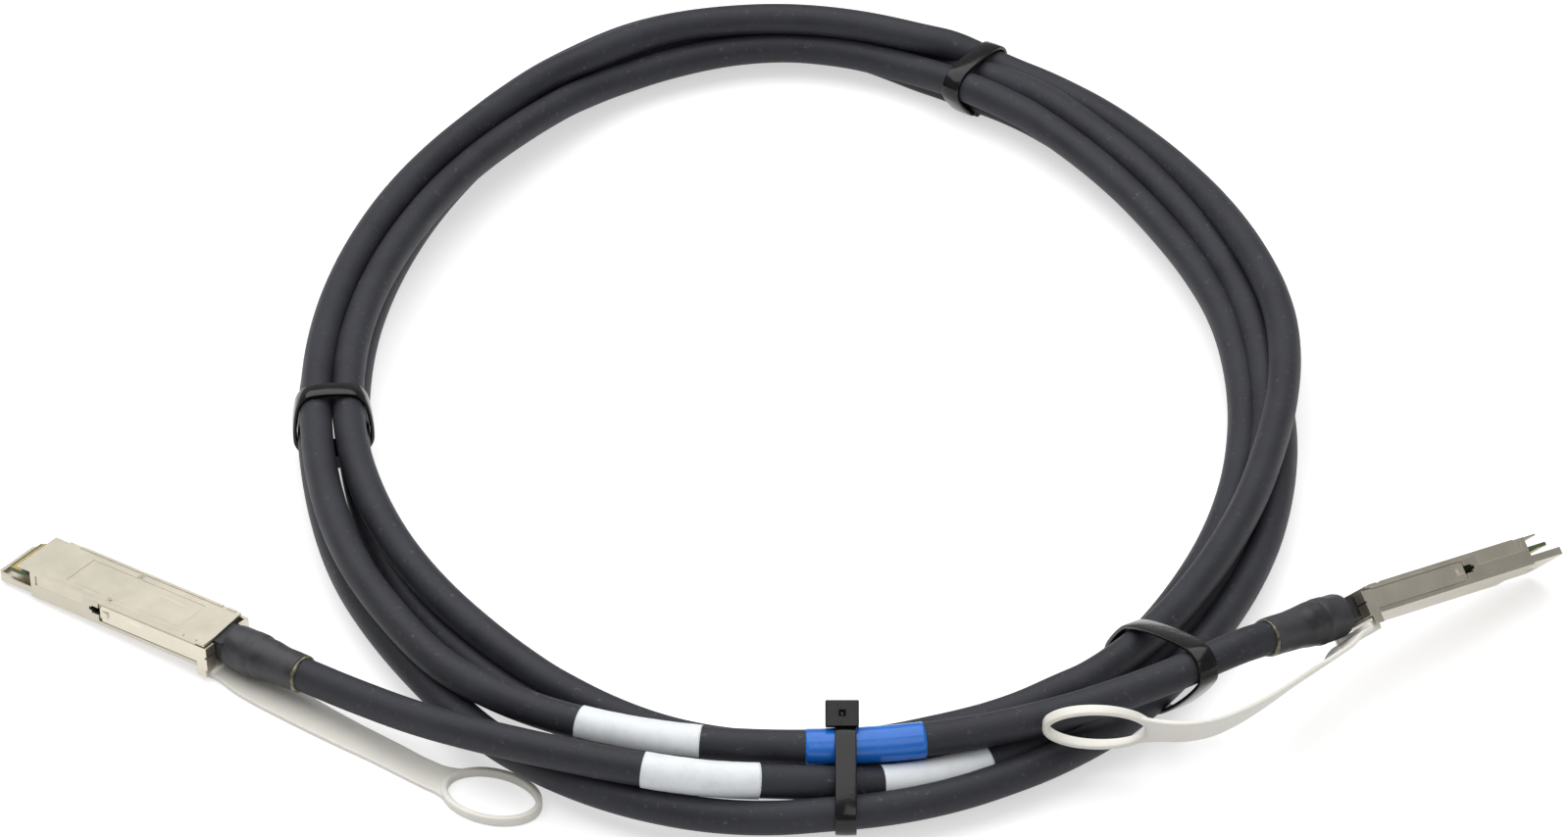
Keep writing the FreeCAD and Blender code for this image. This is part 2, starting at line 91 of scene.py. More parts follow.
def worked_out(tree, operation, *values):
    """The result of one sum on one or two values."""
    node = add(tree, "Math", operation=operation)
    for socket, value in zip(node.inputs, values):
        put(socket, value)
    return node.outputs[0]


def new_material(name):
    """A material with a Principled shader: returns the material, its tree and that shader."""
    material = bpy.data.materials.new(name)
    material.use_nodes = True
    tree = material.node_tree
    return material, tree, tree.nodes["Principled BSDF"]


def mesh_piece(name, vertices, faces, material, smooth=True):
    """Make an object at the origin from points in millimetres of the row frame and faces."""
    mesh = bpy.data.meshes.new(name)
    mesh.from_pydata((np.asarray(vertices) * MM).tolist(), [], [list(map(int, f)) for f in faces])
    mesh.materials.append(material)
    mesh.polygons.foreach_set("use_smooth", [smooth] * len(mesh.polygons))
    mesh.update()
    piece = bpy.data.objects.new(name, mesh)
    scene.collection.objects.link(piece)
    return piece


table_sheet, tree, shader = new_material("table")
fill(shader, Base_Color=(0.62, 0.62, 0.62, 1), Roughness=0.9, Specular_IOR_Level=0.1)
path = add(tree, "LightPath")
seen = path.outputs["Is Camera Ray"]
for ray in ("Is Glossy Ray", "Is Transmission Ray"):
    seen = worked_out(tree, "MAXIMUM", seen, path.outputs[ray])
lift = add(tree, "Emission", Color=(1, 1, 1, 1), Strength=worked_out(tree, "MULTIPLY", seen, 0.55))
both = add(tree, "AddShader")
put(both.inputs[0], shader.outputs[0])
put(both.inputs[1], lift.outputs[0])
put(tree.nodes["Material Output"].inputs["Surface"], both.outputs[0])
corners = [(-TABLE_REACH, -TABLE_REACH, 0), (TABLE_REACH, -TABLE_REACH, 0),
           (TABLE_REACH, TABLE_REACH, 0), (-TABLE_REACH, TABLE_REACH, 0)]
table = mesh_piece("table", corners, [(0, 1, 2, 3)], table_sheet, False)

world = bpy.data.worlds.new("room")
world.use_nodes = True
fill(world.node_tree.nodes["Background"], Color=(1.0, 1.0, 1.0, 1), Strength=0.36)
scene.world = world


def soft_lamp(name, place, turn, size, power):
    """A square area lamp: its place in metres, its turn in degrees, its side and its power."""
    lamp = bpy.data.lights.new(name, "AREA")
    lamp.size = size
    lamp.energy = power
    holder = bpy.data.objects.new(name, lamp)
    holder.location = place
    holder.rotation_euler = [math.radians(a) for a in turn]
    scene.collection.objects.link(holder)


soft_lamp("lamp_over", (-0.35, 0.55, 1.9), (-12, -10, 0), 3.0, 55)
soft_lamp("lamp_front", (0.5, -1.5, 1.5), (48, 14, 0), 1.2, 7)

lens = bpy.data.cameras.new("camera")
lens.sensor_width = 36
lens.lens = 173.7
lens.clip_end = 50
camera = bpy.data.objects.new("camera", lens)
camera.location = (0.00117, -1.73188, 1.30340)
camera.rotation_euler = (math.radians(55.08), 0, 0)
scene.collection.objects.link(camera)
scene.camera = camera


# ---- the cable ----
# One round copper cable, 9.8 mm over its matt black jacket. From plug a it crosses the front of
# the coil, goes round it four times, and comes back over the front to plug b. The coil rests on
# the heads of its ties, 5 mm up.

# From the drawing's own zero to the row's origin, under the middle of the two plugs.
SHIFT = np.array([1.16967, 135.0874, 0.0])
CABLE_D = 9.8
RADIUS = CABLE_D / 2
LIFT = 5.0

# The coil's outermost turn is an oval of four arcs: centre, radius, first and last angle.
SIDE_R = 271.8
END_R = 115.0
ALPHA = 36.83
OVAL = [
    (-119.9, 1.5, SIDE_R, -ALPHA, ALPHA),
    (5.6, 95.5, END_R, ALPHA, 180 - ALPHA),
    (131.1, 1.5, SIDE_R, 180 - ALPHA, 180 + ALPHA),
    (5.6, -92.5, END_R, 180 + ALPHA, 360 - ALPHA),
]


def on_coil(angle, lane, height):
    """The centre of a cable in the coil.

    The angle, in degrees, picks one of the oval's four arcs. The cable lies on that arc's radius
    less one diameter for each lane inward, and one diameter higher for each unit of height.
    """
    angle = np.asarray(angle, float)
    turned = (angle + ALPHA) % 360 - ALPHA
    which = np.digitize(turned, [arc[4] for arc in OVAL[:3]])
    x0, y0, r = (np.array([arc[i] for arc in OVAL])[which] for i in range(3))
    a = np.radians(angle)
    r = r - CABLE_D * np.asarray(lane)
    return np.stack([x0 + r * np.cos(a), y0 + r * np.sin(a), LIFT + CABLE_D * np.asarray(height)], -1)


# How the turns lie: angle from the right-hand side, lanes inward, height in diameters.
TURNS = [
    # first turn: from under the front tie, in the middle on the right, outermost on the left
    (-30, 0.85, 0.5), (-24, 0.8, 0.5), (-15, 0.75, 0.55), (-6, 0.75, 0.7), (0, 0.8, 0.8),
    (7, 0.85, 0.85), (15, 1.0, 0.85), (25, 1.3, 0.85), (32, 1.5, 0.85), (40, 1.65, 0.85),
    (52, 1.87, 0.8), (61, 1.5, 0.35), (68, 1.0, 0.25), (80, 0.42, 0.35), (88, 0.1, 0.5),
    (94, 0.02, 0.5), (100, -0.1, 0.5), (109, -0.33, 0.5), (117, -0.3, 0.5), (128, -0.05, 0.5),
    (142, 0.05, 0.5), (156, 0.0, 0.5), (170, 0.1, 0.5), (182, 0.0, 0.5), (191, -0.08, 0.5),
    (200, -0.33, 0.5), (215, -0.33, 0.5), (229, -0.31, 0.5), (246, -0.28, 0.5), (257, -0.22, 0.5),
    (265, -0.1, 0.5), (273, 0.13, 0.5), (284, 0.18, 0.5), (300, 0.26, 0.5), (311, 0.19, 0.5),
    (317, 0.12, 0.5), (327, -0.03, 0.5),
    # second turn: slips under the others on the right, comes up inside the first on the left
    (335, -0.06, 0.5), (343, -0.02, 0.5), (348, 0.12, 0.5), (353, 0.23, 0.45), (358, 0.38, 0.3),
    (365, 0.6, 0.08), (372, 0.85, 0.02), (380, 1.2, 0.0), (390, 1.6, 0.0), (400, 1.9, 0.0),
    (415, 2.1, 0.0), (428, 1.9, 0.0), (440, 1.3, 0.12), (453, 0.75, 0.45), (475, 0.65, 0.5),
    (488, 0.85, 0.5), (500, 1.05, 0.5), (510, 1.15, 0.5), (525, 1.2, 0.5), (543, 1.2, 0.5),
    (551, 1.1, 0.5), (559, 1.02, 0.5), (567, 1.08, 0.5), (575, 1.45, 0.5), (590, 1.9, 0.5),
    (605, 2.1, 0.5), (630, 2.15, 0.5), (660, 2.1, 0.5), (670, 1.75, 0.15), (678, 1.7, 0.3),
    (684, 1.65, 0.45),
    # third turn: innermost, climbing on top on the left and back down at the front
    (690, 1.58, 0.5), (697, 1.5, 0.5), (704, 1.4, 0.5), (714, 1.43, 0.5), (720, 1.45, 0.5),
    (725, 1.52, 0.55), (730, 1.6, 0.6), (736, 1.9, 0.65), (741, 2.1, 0.65), (746, 2.25, 0.7),
    (752, 2.45, 0.75), (763, 2.75, 0.8), (775, 2.82, 0.8), (788, 2.35, 0.5), (800, 1.95, 0.5),
    (813, 1.65, 0.5), (823, 1.64, 0.5), (834, 1.73, 0.5), (845, 1.75, 0.5), (855, 1.88, 0.7),
    (864, 1.95, 0.95), (871, 1.78, 1.15), (878, 1.65, 1.35), (885, 1.5, 1.45), (892, 1.28, 1.5),
    (899, 1.1, 1.5), (903, 1.05, 1.5), (910, 1.0, 1.5), (917, 1.08, 1.5), (925, 1.25, 1.5),
    (932, 1.72, 1.3), (940, 2.2, 1.1), (950, 2.6, 0.8), (962, 3.0, 0.5), (979, 3.15, 0.5),
    (990, 3.25, 0.5), (1014, 3.16, 0.5), (1022, 2.8, 0.65), (1030, 2.2, 0.95), (1036, 1.75, 1.3),
    (1041, 1.3, 1.48),
    # fourth turn: on top all the way, out to the outer edge on the left
    (1046, 1.0, 1.5), (1050, 0.85, 1.5), (1056, 0.78, 1.5), (1061, 0.7, 1.5), (1065, 0.6, 1.55),
    (1071, 0.5, 1.6), (1074, 0.38, 1.55), (1080, 0.17, 1.5), (1087, 0.06, 1.5), (1094, 0.3, 1.5),
    (1099, 0.4, 1.35), (1105, 0.5, 1.1), (1112, 0.55, 0.8), (1120, 0.75, 0.6), (1133, 1.0, 0.6),
    (1141, 1.35, 1.15), (1148, 1.75, 1.35), (1160, 1.6, 1.4), (1173, 1.38, 1.42),
    (1183, 1.25, 1.42), (1194, 1.12, 1.45), (1205, 1.2, 1.45), (1213, 1.22, 1.45),
    (1224, 1.05, 1.5), (1230, 0.9, 1.5), (1238, 0.6, 1.5), (1246, 0.43, 1.5), (1253, 0.27, 1.5),
    (1260, 0.17, 1.5), (1265, 0.08, 1.5), (1270, -0.05, 1.5), (1276, -0.19, 1.48),
    (1280, -0.29, 1.45), (1287, -0.33, 1.45),
]
STEP = 5.5
# A smooth line cuts inside its points, by this share of the cable's diameter here.
CUT_INSIDE = 0.035
turn_angle, turn_lane, turn_height = np.array(TURNS).T
angles = turn_angle[0] + STEP * np.arange(int((turn_angle[-1] - turn_angle[0]) / STEP) + 1)
coil_points = on_coil(angles, np.interp(angles, turn_angle, turn_lane) - CUT_INSIDE,
                      np.interp(angles, turn_angle, turn_height))


def turned(heading, nose_down, roll):
    """Rotation with the plug's own axes in its columns: roll, then nose down, then heading."""
    c, s = np.cos(np.radians([heading, nose_down, roll])), np.sin(np.radians([heading, nose_down, roll]))
    about_z = np.array([[c[0], -s[0], 0], [s[0], c[0], 0], [0, 0, 1]])
    about_y = np.array([[c[1], 0, s[1]], [0, 1, 0], [-s[1], 0, c[1]]])
    about_x = np.array([[1, 0, 0], [0, c[2], -s[2]], [0, s[2], c[2]]])
    return about_z @ about_y @ about_x


# Where each plug lies: the middle of its rear edge, and its axes (to the nose, left, to the cover).
PLUG_AT = {"a": np.array([-160.1, -124.7, 8.9]), "b": np.array([160.5, -132.1, 24.9])}
PLUG_TURN = {"a": turned(143.2, 2.67, 0.0), "b": turned(39.95, 10.85, -48.25)}
# The cable's ends stand this far behind the plugs' rear edges.
CABLE_END = (-8, 0, 0)


def from_plug(key, points):
    """Points of a plug's own frame, in the drawing's millimetres."""
    return PLUG_AT[key] + np.atleast_2d(points) @ PLUG_TURN[key].T


lead_a = list(from_plug("a", [CABLE_END, (-22, 0, 0), (-34, 0, 0), (-46, 0, 0)])) + [
    (-104, -167.6, 13.9), (-84, -180.4, 17.2), (-66, -189.7, 19.3), (-46, -197.2, 19.9),
    (-23, -201.8, 18.8), (-5, -200.4, 16.9), (12, -197.5, 14.0), (29, -193.8, 11.0),
    (46, -188.2, 9.9), (62, -180.4, 9.9), (77.5, -168.9, 9.9), (90.5, -154.6, 9.9)]
lead_b = [
    (-101, -145.5, 19.3), (-86.5, -160.3, 19.5), (-68, -173.4, 20.1), (-46, -182.6, 20.2),
    (-22, -187.8, 20.1), (4, -189.4, 20.1), (30, -187.6, 20.1), (53, -182.6, 20.1),
    (73, -176, 20.5), (91.5, -170.6, 23.2), (109.5, -167.4, 29.0),
] + list(from_plug("b", [(-44, 0, 0), (-34, 0, 0), (-22, 0, 0), CABLE_END]))
route = np.array([*lead_a, *coil_points, *lead_b]) + SHIFT


def spline_through(name, points, thickness):
    """One open NURBS spline over the points, in millimetres; thickness is the tube's radius."""
    curve = bpy.data.curves.new(name, "CURVE")
    curve.dimensions = "3D"
    curve.resolution_u = 5
    spline = curve.splines.new("NURBS")
    spline.points.add(len(points) - 1)
    spline.points.foreach_set("co", np.c_[points * MM, np.ones(len(points))].ravel())
    spline.order_u = 3
    spline.use_endpoint_u = True
    curve.bevel_depth = thickness * MM
    curve.bevel_resolution = 6
    curve.use_fill_caps = thickness > 0
    return curve


def object_place(tree):
    """The place on the object, in metres."""
    return add(tree, "TexCoord").outputs["Object"]


def noise(tree, place, scale, detail, roughness=0.5):
    """A cloudy value about one half, finer the larger its scale."""
    node = add(tree, "TexNoise", Vector=place, Scale=scale, Detail=detail, Roughness=roughness)
    return node.outputs["Fac"]


def ramp(tree, value, low, high, start=0.0, end=1.0):
    """A colour that runs from low to high as the value runs from start to end."""
    node = add(tree, "ValToRGB", Fac=value)
    for stop, place, colour in zip(node.color_ramp.elements, (start, end), (low, high)):
        stop.position = place
        stop.color = (*colour, 1)
    return node.outputs["Color"]


def spread(tree, value, low, high, start=0.3, end=0.7):
    """A number that runs from low to high as the value runs from start to end."""
    node = add(tree, "MapRange", Value=value, From_Min=start, From_Max=end, To_Min=low, To_Max=high)
    return node.outputs[0]


def mixed(tree, share, first, second):
    """A colour between two others, by share of the second."""
    node = add(tree, "Mix", data_type="RGBA")
    for socket, value in zip((node.inputs[0], node.inputs[6], node.inputs[7]), (share, first, second)):
        put(socket, value)
    return node.outputs[2]


def bump(tree, height, strength, distance, over=None):
    """A surface direction tilted by the slope of a height, on top of another direction if given."""
    node = add(tree, "Bump", Height=height, Strength=strength, Distance=distance)
    if over is not None:
        put(node.inputs["Normal"], over)
    return node.outputs["Normal"]


jacket, tree, shader = new_material("jacket")
here = object_place(tree)
patch = noise(tree, here, 45, 4, 0.6)
grain = noise(tree, here, 1400, 3, 0.7)
dust = noise(tree, here, 420, 5, 0.75)
tone = ramp(tree, patch, (0.015, 0.0155, 0.021), (0.029, 0.030, 0.039), 0.3, 0.72)
specks = ramp(tree, dust, (0, 0, 0), (0.5, 0.5, 0.5), 0.60, 0.74)
fill(shader, Base_Color=mixed(tree, specks, tone, (0.17, 0.17, 0.19, 1)),
     Roughness=spread(tree, patch, 0.5, 0.64), Specular_IOR_Level=0.35,
     Normal=bump(tree, grain, 0.25, 0.00012))

cable_line = spline_through("cable", route, RADIUS)
cable_line.materials.append(jacket)
cable = bpy.data.objects.new("cable", cable_line)
scene.collection.objects.link(cable)
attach(cable, "cable")
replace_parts(cable, "coil", "lead_a", "lead_b")

# The centre line as the spline gives it, for everything that sits on the cable.
bare = spline_through("bare", route, 0)
bare_holder = bpy.data.objects.new("bare", bare)
scene.collection.objects.link(bare_holder)
read = bpy.data.meshes.new_from_object(bare_holder)
line = np.empty(len(read.vertices) * 3)
read.vertices.foreach_get("co", line)
line = line.reshape(-1, 3) / MM
bpy.data.objects.remove(bare_holder)
bpy.data.curves.remove(bare)
bpy.data.meshes.remove(read)
along = np.concatenate([[0], np.cumsum(np.linalg.norm(np.diff(line, axis=0), axis=1))])
cable_length = float(along[-1])
# Each lead is the part of the cable within this distance of its end.
LEAD_REACH = 300


def sides_of(points):
    """At each point of a line, the level direction square to it and the one square to both."""
    t = np.gradient(points, axis=0)
    t /= np.linalg.norm(t, axis=1)[:, None]
    side = np.cross(t, (0, 0, 1.0))
    side /= np.linalg.norm(side, axis=1)[:, None]
    return side, np.cross(side, t)


def at_distance(distances):
    """Points of the centre line at the given distances from its start."""
    return np.stack([np.interp(distances, along, line[:, i]) for i in range(3)], -1)


def distance_at(x, lead):
    """How far along the line the first or the last lead passes the given x of the drawing."""
    part = along < LEAD_REACH if lead == "a" else along > cable_length - LEAD_REACH
    xs = line[part, 0] - SHIFT[0]
    order = np.argsort(xs)
    return float(np.interp(x, xs[order], along[part][order]))


def grid_faces(rows, columns, wrap_rows=False, wrap_columns=True):
    """Quads over a grid of points, closed round its columns and, if asked, its rows."""
    i = np.arange(rows if wrap_rows else rows - 1)[:, None]
    j = np.arange(columns if wrap_columns else columns - 1)[None, :]
    i2 = (i + 1) % rows
    j2 = (j + 1) % columns
    a, b, c, d = (np.broadcast_to(p * columns + q, (i.size, j.size)).ravel()
                  for p, q in ((i, j), (i, j2), (i2, j2), (i2, j)))
    return np.stack([a, b, c, d], -1)


# ---- labels ----
# Four sleeves of printed film round the cable, left blank: three white ones, each with a strip of
# clear film below the white, and a glossy blue one. The film is laid round and overlaps itself.

FILM_T = 0.12


def wrapped_film(name, lead, x0, x1, start, sweep, material):
    """A strip of film rolled round the cable.

    Its radius is the cable's plus 0.08 mm, growing by the film's thickness over the sweep so that
    it overlaps itself, with a ripple of a few hundredths and an edge that lifts by 0.1 mm.
    """
    d0, d1 = sorted((distance_at(x0, lead), distance_at(x1, lead)))
    rows, columns = 40, 90
    s = np.linspace(d0, d1, rows)
    centre = at_distance(s)
    side, up = sides_of(centre)
    v = np.linspace(0, 1, columns)
    a = np.radians(start + sweep * v)
    lift = 0.08 + FILM_T * v + 0.10 * np.clip((v - 0.93) / 0.07, 0, 1) ** 2
    lift = lift + 0.03 * np.sin(s[:, None] * 0.9 + 7 * v) * np.sin(s[:, None] * 0.31)
    r = RADIUS + lift
    grid = (centre[:, None] + r[..., None] * (np.cos(a)[None, :, None] * side[:, None]
                                              + np.sin(a)[None, :, None] * up[:, None]))
    piece = mesh_piece(name, grid.reshape(-1, 3), grid_faces(rows, columns, wrap_columns=False), material)
    layer = piece.data.uv_layers.new(name="UVMap")
    corner = np.empty(len(piece.data.loops), int)
    piece.data.loops.foreach_get("vertex_index", corner)
    uv = np.stack([(corner // columns) / (rows - 1), v[corner % columns]], -1)
    layer.data.foreach_set("uv", uv.ravel())
    thick = piece.modifiers.new("thickness", "SOLIDIFY")
    thick.thickness = FILM_T * MM
    thick.offset = 1
    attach(piece, "cable")
    return piece


def film_material(name, colour, clear, band, gloss):
    """Film that is coloured inside a band of its own width and nearly clear outside it.

    The edges of the band are set by steps on the distance round the cable.
    """
    material, tree, shader = new_material(name)
    where = add(tree, "TexCoord")
    round_it = add(tree, "SeparateXYZ", Vector=where.outputs["UV"]).outputs["Y"]
    half = 0.008
    after = spread(tree, round_it, 0, 1, band[0] - half, band[0] + half)
    before = spread(tree, round_it, 0, 1, band[1] + half, band[1] - half)
    soil = noise(tree, where.outputs["Object"], 160, 5, 0.7)
    shade = ramp(tree, soil, [c * 0.9 for c in colour], colour, 0.32, 0.55)
    inside = worked_out(tree, "MINIMUM", after, before)
    fill(shader, Base_Color=mixed(tree, inside, (*clear, 1), shade),
         Roughness=spread(tree, soil, gloss, gloss + 0.16), Normal=bump(tree, soil, 0.2, 0.0002))
    return material


WHITE, CLEAR = (0.79, 0.82, 0.84), (0.085, 0.075, 0.07)
white_film = film_material("white_film", WHITE, CLEAR, (0.12, 0.90), 0.35)
short_film = film_material("short_film", WHITE, CLEAR, (0.12, 0.56), 0.35)
blue_film = film_material("blue_film", (0.010, 0.15, 0.60), (0.006, 0.11, 0.46), (0.01, 0.99), 0.16)
# Each label: its lead, its ends along the drawing's x, where it starts and how far it goes round.
LABELS = {
    "label_white_1": ("b", -57, -23, 200, -380, short_film),
    "label_white_2": ("a", -39, -7, 190, -380, white_film),
    "label_white_3": ("a", 27, 57, 185, -380, white_film),
    "label_blue": ("b", 6, 39, 250, -375, blue_film),
}
for name, laid in LABELS.items():
    label = wrapped_film("film_" + name, *laid)
    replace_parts(label, name)


# ---- cable ties ----
# Four black nylon ties, 6 mm wide and 1.2 mm thick, pulled tight round the bundle. Each ends in
# a square head with a slot that the strap passes through; three heads are under the coil.

TIE_W = 6.0
TIE_T = 1.2
# A strap stands off the strands by the gap, and keeps clear of the table by the other value.
TIE_GAP = 0.08
TABLE_GAP = 0.15
# How stiff the nylon is: the width in degrees of the bell that evens out its directions, and the
# share of the deepest corner it would cut off by which the whole strap stands further out.
TIE_BELL = 5
TIE_BOW = 0.7

tie_nylon, tree, shader = new_material("tie_nylon")
scuff = noise(tree, object_place(tree), 300, 4, 0.7)
fill(shader, Base_Color=ramp(tree, scuff, (0.002, 0.002, 0.002), (0.008, 0.008, 0.008), 0.4, 0.8),
     Roughness=0.16, Specular_IOR_Level=0.35, Normal=bump(tree, scuff, 0.2, 0.0003))


def strands_across(centre, across, reach):
    """Where the cable's line crosses an upright plane near a point.

    Returns the distance across, the height, and how much wider than the cable the cut through
    each strand is: one over the cosine of its slant, which counts as 0.83 at the least.
    """
    normal = np.array([-across[1], across[0], 0.0])
    before = (line - centre) @ normal
    hit = np.nonzero(before[:-1] * before[1:] < 0)[0]
    share = before[hit] / (before[hit] - before[hit + 1])
    step = line[hit + 1] - line[hit]
    found = line[hit] + share[:, None] * step
    u = (found - centre) @ np.array([across[0], across[1], 0.0])
    near = np.abs(u) < reach
    slant = np.abs(step @ normal) / np.linalg.norm(step, axis=1)
    return u[near], found[near][:, 2], 1 / np.maximum(slant[near], 0.83)


def face_outward(piece):
    """Turn every face of a closed mesh outward."""
    body = bmesh.new()
    body.from_mesh(piece.data)
    bmesh.ops.recalc_face_normals(body, faces=body.faces)
    body.to_mesh(piece.data)
    body.free()


def band_round(name, centre, angle, reach):
    """A tie's strap round all the strands at a place.

    In each direction the strap stands off as far as the strand that reaches furthest that way,
    averaged over a bell of directions, because stiff nylon bows out between the strands and
    rounds their corners. Its section is a rectangle with rounded corners.
    """
    across = np.array([math.cos(math.radians(angle)), math.sin(math.radians(angle))])
    u, z, widen = strands_across(centre, across, reach)
    turn = np.linspace(0, 2 * np.pi, 721)[:-1]
    way = np.stack([np.cos(turn), np.sin(turn)], -1)
    half_u = (RADIUS + TIE_GAP) * widen
    reach_out = np.max(u[:, None] * way[:, 0] + z[:, None] * way[:, 1] + np.hypot(
        half_u[:, None] * way[:, 0], (RADIUS + TIE_GAP) * way[:, 1]), axis=0)
    bell = np.exp(-0.5 * (np.arange(-90, 91) * 0.5 / TIE_BELL) ** 2)
    eased = np.convolve(np.pad(reach_out, 90, mode="wrap"), bell / bell.sum(), mode="valid")
    eased += TIE_BOW * np.max(reach_out - eased)
    slope = np.gradient(np.pad(eased, 1, mode="wrap"), turn[1])[1:-1]
    path = np.stack([eased * way[:, 0] - slope * way[:, 1], eased * way[:, 1] + slope * way[:, 0]], -1)
    loop = np.concatenate([path, path[:1]])
    run = np.concatenate([[0], np.cumsum(np.linalg.norm(np.diff(loop, axis=0), axis=1))])
    s = np.linspace(0, run[-1], 241)[:-1]
    path = np.stack([np.interp(s, run, loop[:, i]) for i in range(2)], -1)
    ahead = np.roll(path, -1, axis=0) - np.roll(path, 1, axis=0)
    ahead /= np.linalg.norm(ahead, axis=1)[:, None]
    out = np.stack([ahead[:, 1], -ahead[:, 0]], -1)
    w, t, c = TIE_W / 2, TIE_T, 0.3
    n = c * 0.3
    section = [(-w + c, 0), (w - c, 0), (w - n, n), (w, c), (w, t - c), (w - n, t - n), (w - c, t),
               (0, t + 0.06), (-w + c, t), (-w + n, t - n), (-w, t - c), (-w, c), (-w + n, n)]
    width, rise = np.array(section).T
    flat = path[:, None] + rise[None, :, None] * out[:, None]
    points = np.empty((*flat.shape[:2], 3))
    points[..., 0] = centre[0] + flat[..., 0] * across[0] - width * across[1]
    points[..., 1] = centre[1] + flat[..., 0] * across[1] + width * across[0]
    points[..., 2] = np.maximum(flat[..., 1], TABLE_GAP)
    piece = mesh_piece(name, points.reshape(-1, 3),
                       grid_faces(points.shape[0], points.shape[1], wrap_rows=True), tie_nylon)
    face_outward(piece)
    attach(piece, "cable")
    return piece, path, across


def tie_head(name, centre, across, out, size, hole):
    """A block with bevelled edges whose square slot is shut a third of the way down by the strap.

    Outline corners are at plus and minus half its sizes; the slot's at plus and minus the hole's.
    """
    out = np.asarray(out, float)
    across = np.asarray(across, float)
    third = np.cross(across, out)
    hx, hy, hz = np.asarray(size) / 2
    ix, iy = np.asarray(hole) / 2
    ring = np.array([(-1, -1), (1, -1), (1, 1), (-1, 1)])
    levels = [ring * (hx, hy), ring * (hx, hy), ring * (ix, iy), ring * (ix, iy)]
    heights = [-hz, hz, hz, hz / 3]
    local = np.concatenate([np.c_[level, np.full(4, h)] for level, h in zip(levels, heights)])
    points = centre + local[:, :1] * across + local[:, 1:2] * third + local[:, 2:] * out
    faces = [*grid_faces(4, 4).tolist(), [0, 1, 2, 3], [12, 13, 14, 15]]
    piece = mesh_piece(name, points, faces, tie_nylon, False)
    face_outward(piece)
    bevel = piece.modifiers.new("edges", "BEVEL")
    bevel.width = 0.35 * MM
    bevel.segments = 3
    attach(piece, "cable")
    return piece


def drawn_point(x, y, z=0.0):
    """A point of the drawing, moved to the row frame."""
    return np.array([x, y, z]) + SHIFT


# Each tie: a point in the bundle, the direction across it, and how far off its strands may be.
TIES = {
    "tie_left": (on_coil(185, 0.7, 1) + SHIFT, 185, 22),
    "tie_far": (on_coil(55, 1.6, 1) + SHIFT, 55, 24),
    "tie_right": (drawn_point(105.5, -147), -59, 26),
    "tie_front": (drawn_point(17.2, -190.5), -90, 26),
}
# The front head's middle and the way it faces, forward and up. The others face down under the
# lowest run of their straps, their middles this high.
FRONT_HEAD = drawn_point(16.2, -183.4, 27.5)
FRONT_FACES = (0, -0.76, 0.65)
LOW_HEAD = 2.45

for name, (centre, angle, reach) in TIES.items():
    strap, path, across = band_round("strap_" + name, centre, angle, reach)
    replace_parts(strap, name)
    if name == "tie_front":
        head = tie_head("head_" + name, FRONT_HEAD, (1, 0, 0), FRONT_FACES, (9.4, 7.4, 7.2), (1.4, 1.6))
    else:
        flat = np.array([across[0], across[1], 0.0])
        under = np.mean(path[path[:, 1] < np.min(path[:, 1]) + 1, 0])
        place = np.array([centre[0], centre[1], 0]) + under * flat + (0, 0, LOW_HEAD)
        head = tie_head("head_" + name, place, flat, (0, 0, -1), (7.4, 9.4, 4.6), (1.7, 2.6))


# ---- sleeves and glue at the cable's ends ----
# A black heat-shrink sleeve covers the joint between each plug and the cable. It grips both, with
# creases where its width changes. Hot glue squeezed out of its end and set in a brown ring.

shrink, tree, shader = new_material("shrink")
broad = noise(tree, object_place(tree), 130, 4, 0.6)
fill(shader, Base_Color=ramp(tree, broad, (0.016, 0.016, 0.02), (0.045, 0.045, 0.053), 0.35, 0.75),
     Roughness=spread(tree, broad, 0.38, 0.58), Normal=bump(tree, broad, 0.5, 0.0004))

glue, tree, shader = new_material("glue")
cloud = noise(tree, object_place(tree), 350, 3)
fill(shader, Base_Color=ramp(tree, cloud, (0.03, 0.024, 0.012), (0.30, 0.27, 0.16), 0.35, 0.7),
     Roughness=0.12, IOR=1.5, Coat_Weight=0.5)

# The sleeve's profile: distances behind the plug's rear edge, and the radius at each.
BOOT_X = np.array([-3.6, -4.4, -9.0, -12.5, -16.5, -20.5, -25.0, -30.0, -32.0])
BOOT_R = np.array([6.0, 6.4, 6.55, 6.75, 6.35, 5.85, 5.65, 5.6, 5.62])
# Plug a's sleeve was cut a little shorter.
BOOT_END = {"a": -28.5, "b": -32.0}
# The inner edge of the sleeve's cut end, and its bore on the jacket.
CUT_R = 5.35
BORE_R = RADIUS + 0.02


def lead_frame(key, x):
    """Points and directions along a lead for the plug's own x, straight on inside the plug."""
    start = from_plug(key, CABLE_END)[0] + SHIFT
    far = CABLE_END[0] - np.asarray(x)
    d = far if key == "a" else cable_length - far
    centre = at_distance(np.clip(d, 0, cable_length))
    inside = far < 0
    centre[inside] = start - far[inside, None] * PLUG_TURN[key][:, 0]
    t = np.gradient(centre, axis=0)
    t /= np.linalg.norm(t, axis=1)[:, None]
    side = np.cross(PLUG_TURN[key][:, 2], t)
    side /= np.linalg.norm(side, axis=1)[:, None]
    return centre, side, np.cross(t, side)


